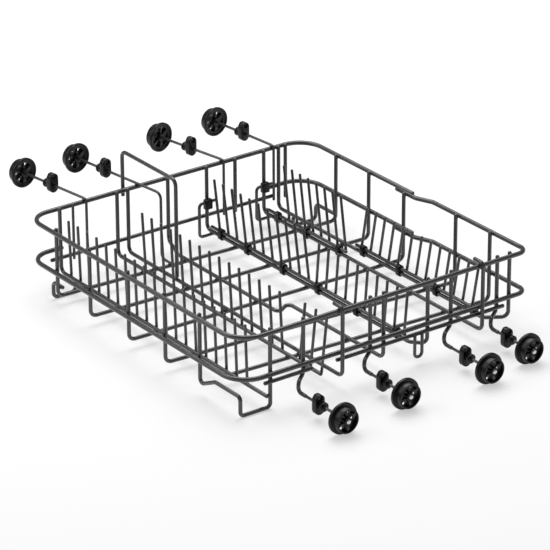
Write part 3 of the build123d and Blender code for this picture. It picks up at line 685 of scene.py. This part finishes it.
def weld_points(groups):
    """Where wires of different groups touch: place, direction across the touch and thinner radius."""
    welds = []
    flat = [(number, run) for number, group in enumerate(groups) for run in group]
    for i, (group, (a, b, ra)) in enumerate(flat):
        for other, (c, d, rb) in flat[i + 1:]:
            if other == group:
                continue
            reach = ra + rb + 0.25
            if any(min(a[k], b[k]) - reach > max(c[k], d[k]) or min(c[k], d[k]) - reach > max(a[k], b[k])
                   for k in range(3)):
                continue
            p, q = nearest_points(a, b, c, d)
            across = q - p
            if 0.6 * (ra + rb) < across.length < reach:
                welds.append((p + across * (ra / (ra + rb)), across.normalized(), min(ra, rb)))
    return welds


def bead_shape():
    """One weld bead: a flattened ball a little uneven in outline, one unit across its half width."""
    bead = bpy.data.objects.get("bead_shape")
    if bead:
        return bead
    shape = bmesh.new()
    bmesh.ops.create_uvsphere(shape, u_segments=12, v_segments=6, radius=1.0)
    for point in shape.verts:
        swell = 1 + 0.06 * math.sin(3 * math.atan2(point.co.y, point.co.x))
        point.co = Vector((point.co.x * swell, point.co.y * swell, point.co.z * 0.55))
    for face in shape.faces:
        face.smooth = True
    mesh = bpy.data.meshes.new("bead_shape")
    shape.to_mesh(mesh)
    shape.free()
    return bpy.data.objects.new("bead_shape", mesh)


def weld_mesh(welds):
    """Weld beads at the touches of wires."""
    settings = bpy.context.scene.basket_wires
    mesh = bpy.data.meshes.new("welds")
    mesh.from_pydata([place * MM for place, across, radius in welds], [], [])
    facing = [value for place, across, radius in welds for value in across]
    sizes = [radius * settings.bead * MM for place, across, radius in welds]
    mesh.attributes.new("facing", "FLOAT_VECTOR", "POINT").data.foreach_set("vector", facing)
    mesh.attributes.new("size", "FLOAT", "POINT").data.foreach_set("value", sizes)
    return grown(mesh, spread_tree(), shape=bead_shape(), material=wire_finish())


def rounded_outline(points, radius, steps=4):
    """A closed outline in the plane with its corners rounded."""
    outline = []
    count = len(points)
    for i, point in enumerate(points):
        at = Vector(point)
        before = (Vector(points[i - 1]) - at)
        after = (Vector(points[(i + 1) % count]) - at)
        half = before.angle(after) / 2
        cut = min(radius / math.tan(half), 0.45 * before.length, 0.45 * after.length)
        arc = cut * math.tan(half)
        start, end = at + before.normalized() * cut, at + after.normalized() * cut
        middle = at + (before.normalized() + after.normalized()).normalized() * (arc / math.sin(half))
        first, last = start - middle, end - middle
        for k in range(steps + 1):
            share = k / steps
            outline.append(middle + (first * (1 - share) + last * share).normalized() * arc)
    return outline


def turned(shape, profile, steps=72):
    """Turns a closed profile of (x, radius) points about X into a mesh, in millimetres."""
    rings = []
    for k in range(steps):
        angle = 2 * math.pi * k / steps
        rings.append([
            shape.verts.new(Vector((x, r * math.cos(angle), r * math.sin(angle))) * MM) for x, r in profile])
    count = len(profile)
    for k in range(steps):
        here, after = rings[k], rings[(k + 1) % steps]
        for i in range(count):
            j = (i + 1) % count
            shape.faces.new((here[i], here[j], after[j], after[i]))


def plastic_mesh(shape, material, sharp=40.0):
    """Closes a shape's making: normals outward, smooth but for sharp edges, one material."""
    bmesh.ops.recalc_face_normals(shape, faces=shape.faces)
    for face in shape.faces:
        face.smooth = True
    mesh = bpy.data.meshes.new("moulding")
    shape.to_mesh(mesh)
    shape.free()
    mesh.set_sharp_from_angle(angle=math.radians(sharp))
    mesh.materials.append(material)
    return mesh


def plate_mesh(outlines, thickness, edge):
    """A plate with rounded edges from an outline and its holes, middle at the origin, in millimetres."""
    curve = bpy.data.curves.new("plate", "CURVE")
    curve.dimensions = "2D"
    curve.fill_mode = "BOTH"
    curve.extrude = (thickness / 2 - edge) * MM
    curve.bevel_depth = edge * MM
    curve.bevel_resolution = 2
    curve.offset = -edge * MM
    for outline in outlines:
        spline = curve.splines.new("POLY")
        spline.points.add(len(outline) - 1)
        spline.use_cyclic_u = True
        for point, place in zip(spline.points, outline):
            point.co = (place[0] * MM, place[1] * MM, 0.0, 1.0)
    helper = bpy.data.objects.new("plate", curve)
    bpy.context.scene.collection.objects.link(helper)
    bpy.context.view_layer.update()
    graph = bpy.context.evaluated_depsgraph_get()
    mesh = bpy.data.meshes.new_from_object(helper.evaluated_get(graph))
    bpy.data.objects.remove(helper)
    return mesh


def circle(x, y, radius, steps=28):
    """A round outline."""
    return [(x + radius * math.cos(2 * math.pi * k / steps), y + radius * math.sin(2 * math.pi * k / steps))
            for k in range(steps)]


def slot_outline(y0, y1, width, steps=14):
    """An upright slot between two heights, rounded at both ends."""
    arc = [math.pi * k / steps for k in range(steps + 1)]
    top = [(width / 2 * math.cos(a), y1 + width / 2 * math.sin(a)) for a in arc]
    return top + [(-width / 2 * math.cos(a), y0 - width / 2 * math.sin(a)) for a in arc]


# Turns a plate drawn in X, Y so that its X runs along +Y, its Y up and its thickness along +X
PLATE_UP = Matrix(((0, 0, 1), (1, 0, 0), (0, 1, 0))).to_4x4()


def pivot_clip_shape():
    """One pivot clip round a cross wire and the rod above it, cross wire at the origin."""
    clip = bpy.data.objects.get("pivot_clip_shape")
    if clip:
        return clip
    rod_up = HALF_FRAME + CLIP_WEB + ROD_WIRE / 2
    width = max(FRAME_WIRE, ROD_WIRE) + 2 * CLIP_WALL
    outlines = [
        slot_outline(0.0, rod_up, width),
        circle(0.0, 0.0, HALF_FRAME + 0.1),
        circle(0.0, rod_up, ROD_WIRE / 2 + 0.08)]
    mesh = plate_mesh(outlines, CLIP_LENGTH, 0.5)
    shape = bmesh.new()
    shape.from_mesh(mesh)
    shape.transform(PLATE_UP)
    bmesh.ops.remove_doubles(shape, verts=shape.verts, dist=1e-6)
    mesh = plastic_mesh(shape, plastic_finish())
    return bpy.data.objects.new("pivot_clip_shape", mesh)


def pivot_clips_mesh(row):
    """The clips along one folding row."""
    y = row_rod(row)[0]
    places = FOLDING_ROWS[row][2]
    mesh = bpy.data.meshes.new("clip places")
    mesh.from_pydata([Vector((x, y, CROSS_Z)) * MM for x in places], [], [])
    facing = mesh.attributes.new("facing", "FLOAT_VECTOR", "POINT")
    facing.data.foreach_set("vector", [0.0, 0.0, 1.0] * len(places))
    mesh.attributes.new("size", "FLOAT", "POINT").data.foreach_set("value", [1.0] * len(places))
    return grown(mesh, spread_tree(), shape=pivot_clip_shape(), material=plastic_finish())


def axle_clip_mesh(plate_above):
    """An axle clip about X: basket side at the origin, plate with its window, boss with its collar."""
    thickness, width, height = 9.0, 15.0, 28.0
    half = (height - width) / 2
    middle = plate_above
    window = [(s * 3.5, middle + 9.7 + t * 3.0) for s, t in ((1, 1), (-1, 1), (-1, -1), (1, -1))]
    outlines = [
        [(x, y + middle) for x, y in slot_outline(-half, half, width)],
        [tuple(p) for p in rounded_outline(window, 2.0)],
        circle(0.0, 0.0, ARM_WIRE / 2 + 0.05)]
    shape = bmesh.new()
    shape.from_mesh(plate_mesh(outlines, thickness, 1.1))
    shape.transform(Matrix.Translation((thickness / 2 * MM, 0, 0)) @ PLATE_UP)
    bmesh.ops.remove_doubles(shape, verts=shape.verts, dist=1e-6)
    bore = ARM_WIRE / 2 + 0.05
    boss = [(thickness - 1.5, bore), (thickness - 1.5, 5.5), (15.0, 5.5), (15.0, 6.5), (18.0, 6.5),
            (18.0, bore + 0.6),
            (17.4, bore)]
    turned(shape, [tuple(p) for p in rounded_outline(boss, 0.5, 2)], 40)
    return plastic_mesh(shape, plastic_finish())


def wheel_mesh():
    """A wheel about X: flange face at the origin, drum towards +X, spokes between hub and drum."""
    settings = bpy.context.scene.basket_wheels
    flange, drum, hub = (value / 2 / MM for value in (settings.flange, settings.drum, settings.hub))
    width = settings.width / MM
    shape = bmesh.new()
    shell = [
        (0.0, flange - 3.0), (0.0, flange), (4.5, flange), (4.5, drum), (width, drum),
        (width, drum - 2.5), (2.0, drum - 2.5), (2.0, flange - 3.0)]
    turned(shape, [tuple(p) for p in rounded_outline(shell, 0.8, 3)])
    bore = JOURNAL / 2 + 0.06
    middle = [(0.0, bore), (0.0, hub), (width, hub), (width, bore)]
    turned(shape, [tuple(p) for p in rounded_outline(middle, 0.6, 3)], 40)
    length = drum - 2.5 - hub + 1.2
    for number in range(settings.spokes):
        bar = bmesh.ops.create_cube(shape, size=1.0)["verts"]
        place = Matrix.Translation(Vector((6.0, 0, hub - 0.6 + length / 2)) * MM)
        size = Matrix.Diagonal((8.0 * MM, settings.spoke_width, length * MM, 1.0))
        turn = Matrix.Rotation(2 * math.pi * number / settings.spokes, 4, "X")
        bmesh.ops.transform(shape, matrix=turn @ place @ size, verts=bar)
        edges = list({edge for point in bar for edge in point.link_edges})
        bmesh.ops.bevel(shape, geom=edges, offset=0.5 * MM, segments=2, affect="EDGES", profile=0.5)
    return plastic_mesh(shape, plastic_finish())


def axle_end_mesh():
    """The thin bright end of an axle inside a wheel, about X, with its swaged head."""
    width = bpy.context.scene.basket_wheels.width / MM
    half = JOURNAL / 2
    profile = [
        (-0.35, 0.05), (-0.35, half), (width + 0.35, half), (width + 0.35, 3.2), (width + 1.3, 3.0),
        (width + 1.75, 2.2), (width + 1.95, 1.0), (width + 1.95, 0.05)]
    shape = bmesh.new()
    turned(shape, profile, 32)
    return plastic_mesh(shape, steel_finish(), 50.0)


def placed(mesh, place, along):
    """Puts a mesh made about X at a place with its X along a direction in plan."""
    turn = math.atan2(along.y, along.x)
    mesh.transform(Matrix.Translation(place * MM) @ Matrix.Rotation(turn, 4, "Z"))
    return mesh


class BASKET_OT_rims(bpy.types.Operator):
    """The two rims of thicker wire"""

    bl_idname = "basket.rims"
    bl_label = "Rims"

    def execute(self, context):
        for node, wire in rim_wires().items():
            show(node + "_coated", wire_mesh([wire]), "basket", "coated_wire", node)
        return {"FINISHED"}


class BASKET_OT_frame_wires(bpy.types.Operator):
    """Floor wires, cross wires, hoop, feet and rails"""

    bl_idname = "basket.frame_wires"
    bl_label = "Frame wires"

    def execute(self, context):
        for node, wire in {**floor_wires(), **cross_wires(), **side_wires()}.items():
            show(node + "_coated", wire_mesh([wire]), "basket", "coated_wire", node)
        for node, wires in straight_side_wires().items():
            show(node + "_coated", wire_mesh(wires), "basket", "coated_wire", node)
        return {"FINISHED"}


class BASKET_OT_fixed_tines(bpy.types.Operator):
    """The two rows of tines welded to the frame"""

    bl_idname = "basket.fixed_tines"
    bl_label = "Fixed tines"

    def execute(self, context):
        for node, runs in fixed_tine_lines().items():
            meshes = [wire_mesh([(points, 0.0, TINE_WIRE)], count, step) for points, count, step in runs]
            show(node + "_coated", joined(meshes, wire_finish()), "basket", "coated_wire", node)
        return {"FINISHED"}


class BASKET_OT_folding_rows(bpy.types.Operator):
    """The three rows of tines on rods that fold, with their pivot clips"""

    bl_idname = "basket.folding_rows"
    bl_label = "Folding rows"

    def execute(self, context):
        for row, (ends, runs, _) in FOLDING_ROWS.items():
            y, z = row_rod(row)
            rod = ([(ends[0], y, z), (ends[1], y, z)], 0.0, ROD_WIRE)
            meshes = [wire_mesh([rod])]
            tine_y = y + (ROD_WIRE + TINE_WIRE) / 2 + WELD_GAP
            touches = []
            for run in runs:
                points, count, step = tine_line(run, tine_y, z)
                meshes.append(wire_mesh([(points, 0.0, TINE_WIRE)], count, step))
                for number in range(count):
                    shift = Vector(step) * number
                    moved = [Vector(p) + shift for p in points]
                    touches += weld_points([straight_runs(moved, 0.0, TINE_WIRE), straight_runs(*rod)])
            meshes.append(weld_mesh(touches))
            rack = row + "_rack"
            show(rack + "_coated", joined(meshes, wire_finish()), rack, "rack_wire", rack)
            show(row + "_clips_moulded", pivot_clips_mesh(row), "basket", "clip_plastic", row + "_clips")
        return {"FINISHED"}


class BASKET_OT_latches(bpy.types.Operator):
    """Wire loops and plastic blocks at the far ends of two folding rows"""

    bl_idname = "basket.latches"
    bl_label = "Latches"

    def execute(self, context):
        for node, wire in latch_lines().items():
            show(node + "_coated", wire_mesh([wire]), "basket", "coated_wire", node)
        for row in ("third_row", "fourth_row"):
            node = row + "_latch_block"
            lo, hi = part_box(node)
            shape = bmesh.new()
            bmesh.ops.create_cube(shape, size=1.0)
            shape.transform(Matrix.Translation((lo + hi) / 2) @ Matrix.Diagonal((*(hi - lo), 1.0)))
            bmesh.ops.bevel(
                shape, geom=list(shape.edges), offset=1.6 * MM, segments=4, affect="EDGES", profile=0.5)
            show(node + "_moulded", plastic_mesh(shape, plastic_finish()), "basket", "clip_plastic", node)
        return {"FINISHED"}


class BASKET_OT_axles(bpy.types.Operator):
    """The long axles of both sides and their bright ends"""

    bl_idname = "basket.axles"
    bl_label = "Axles"

    def execute(self, context):
        for node, wires in axle_lines().items():
            show(node + "_coated", wire_mesh(wires), "basket", "axle_wire", node)
        for side in ("near", "far"):
            for number in (1, 2, 3, 4):
                end = placed(axle_end_mesh(), *wheel_place(side, number))
                show(f"{side}_axle_end_{number}", end, "basket", "axle_wire")
        return {"FINISHED"}


class BASKET_OT_axle_clips(bpy.types.Operator):
    """The plastic clips on the axles"""

    bl_idname = "basket.axle_clips"
    bl_label = "Axle clips"

    def execute(self, context):
        for number in (1, 2, 3, 4):
            node = f"near_axle_clip_{number}"
            place, along = wheel_place("near", number)
            place.x = low(node).x
            clip = placed(axle_clip_mesh(-0.5), place, along)
            show(node + "_moulded", clip, "basket", "clip_plastic", node)
            node = f"far_axle_clip_{number}"
            place, along = wheel_place("far", number)
            clip = placed(axle_clip_mesh(3.5), place - along * 63.0, along)
            show(node + "_moulded", clip, "basket", "clip_plastic", node)
        return {"FINISHED"}


class BASKET_OT_wheels(bpy.types.Operator):
    """The moulded wheels of both sides"""

    bl_idname = "basket.wheels"
    bl_label = "Wheels"

    def execute(self, context):
        for side in ("near", "far"):
            for number in (1, 2, 3, 4):
                node = f"{side}_wheel_{number}"
                wheel = placed(wheel_mesh(), *wheel_place(side, number))
                show(node + "_moulded", wheel, node, "wheel_plastic", node)
        return {"FINISHED"}


class BASKET_OT_welds(bpy.types.Operator):
    """Weld beads where the wires of the frame touch"""

    bl_idname = "basket.welds"
    bl_label = "Welds"

    def execute(self, context):
        groups = [straight_runs(*wire) for wire in {
            **rim_wires(), **floor_wires(), **cross_wires(), **side_wires(), **latch_lines()}.values()]
        for wires in straight_side_wires().values():
            groups += [straight_runs(*wire) for wire in wires]
        groups += [straight_runs(*wires[0]) for wires in axle_lines().values()]
        for runs in fixed_tine_lines().values():
            for points, count, step in runs:
                for number in range(count):
                    moved = [Vector(p) + Vector(step) * number for p in points]
                    groups.append(straight_runs(moved, 0.0, TINE_WIRE))
        show("frame_welds", weld_mesh(weld_points(groups)), "basket", "coated_wire")
        return {"FINISHED"}


class BASKET_OT_stage(bpy.types.Operator):
    """Floor, soft light and the camera"""

    bl_idname = "basket.stage"
    bl_label = "Stage"

    def execute(self, context):
        scene = context.scene
        mesh = bpy.data.meshes.new("floor")
        reach = 12.0
        mesh.from_pydata([(-reach, -reach, 0), (reach, -reach, 0), (reach, reach, 0), (-reach, reach, 0)],
                         [], [(0, 1, 2, 3)])
        mesh.materials.append(floor_material())
        floor = bpy.data.objects.new("floor", mesh)
        scene.collection.objects.link(floor)

        world = bpy.data.worlds.new("soft white room")
        scene.world = world
        world.use_nodes = True
        world.node_tree.nodes["Background"].inputs["Color"].default_value = (1.0, 1.0, 1.0, 1.0)
        world.node_tree.nodes["Background"].inputs["Strength"].default_value = 0.25

        target = Vector((0.0, 0.0, 0.05))
        for name, place, size, power in (
                ("key", (-1.5, -2.3, 2.3), 2.6, 36.0), ("back", (-0.9, 0.65, 2.5), 2.4, 74.0)):
            light = bpy.data.lights.new(name, "AREA")
            light.size = size
            light.energy = power
            lamp = bpy.data.objects.new(name, light)
            lamp.location = place
            lamp.rotation_euler = (target - lamp.location).to_track_quat("-Z", "Y").to_euler()
            scene.collection.objects.link(lamp)

        azimuth, elevation, roll = math.radians(53.835), math.radians(24.571), math.radians(-0.213)
        centre = Vector((0.002646, -0.001461, LOWER_RIM_Z * MM))
        out = Vector((math.sin(azimuth) * math.cos(elevation), -math.cos(azimuth) * math.cos(elevation),
                      math.sin(elevation)))
        data = bpy.data.cameras.new("photo camera")
        data.sensor_width = 36.0
        data.lens = 36.0 * 3610.05 / 550.0
        data.clip_end = 50.0
        camera = bpy.data.objects.new("photo camera", data)
        aim = (-out).to_track_quat("-Z", "Y").to_matrix().to_4x4()
        camera.matrix_world = Matrix.Translation(centre + out * 4.8669) @ aim @ Matrix.Rotation(roll, 4, "Z")
        scene.collection.objects.link(camera)
        scene.camera = camera
        scene.view_settings.view_transform = "Standard"
        return {"FINISHED"}


OPERATORS = (
    BASKET_OT_rims, BASKET_OT_frame_wires, BASKET_OT_fixed_tines, BASKET_OT_folding_rows, BASKET_OT_latches,
    BASKET_OT_axles, BASKET_OT_axle_clips, BASKET_OT_wheels, BASKET_OT_welds, BASKET_OT_stage)


class BASKET_PT_panel(bpy.types.Panel):
    """Lists the pieces of the basket"""

    bl_idname = "BASKET_PT_panel"
    bl_label = "Dishwasher basket"
    bl_space_type = "VIEW_3D"
    bl_region_type = "UI"
    bl_category = "Basket"

    def draw(self, context):
        for group in (context.scene.basket_wires, context.scene.basket_wheels, context.scene.basket_colours):
            for key in group.__annotations__:
                self.layout.prop(group, key)
        for operator in OPERATORS:
            self.layout.operator(operator.bl_idname)


CLASSES = (BasketWireSettings, BasketWheelSettings, BasketColours) + OPERATORS + (BASKET_PT_panel,)


def register():
    for item in CLASSES:
        bpy.utils.register_class(item)
    bpy.types.Scene.basket_wires = PointerProperty(type=BasketWireSettings)
    bpy.types.Scene.basket_wheels = PointerProperty(type=BasketWheelSettings)
    bpy.types.Scene.basket_colours = PointerProperty(type=BasketColours)


def unregister():
    del bpy.types.Scene.basket_colours
    del bpy.types.Scene.basket_wheels
    del bpy.types.Scene.basket_wires
    for item in reversed(CLASSES):
        bpy.utils.unregister_class(item)


def main():
    register()
    for operator in OPERATORS:
        group, name = operator.bl_idname.split(".")
        getattr(getattr(bpy.ops, group), name)()


if __name__ == "__main__":
    main()
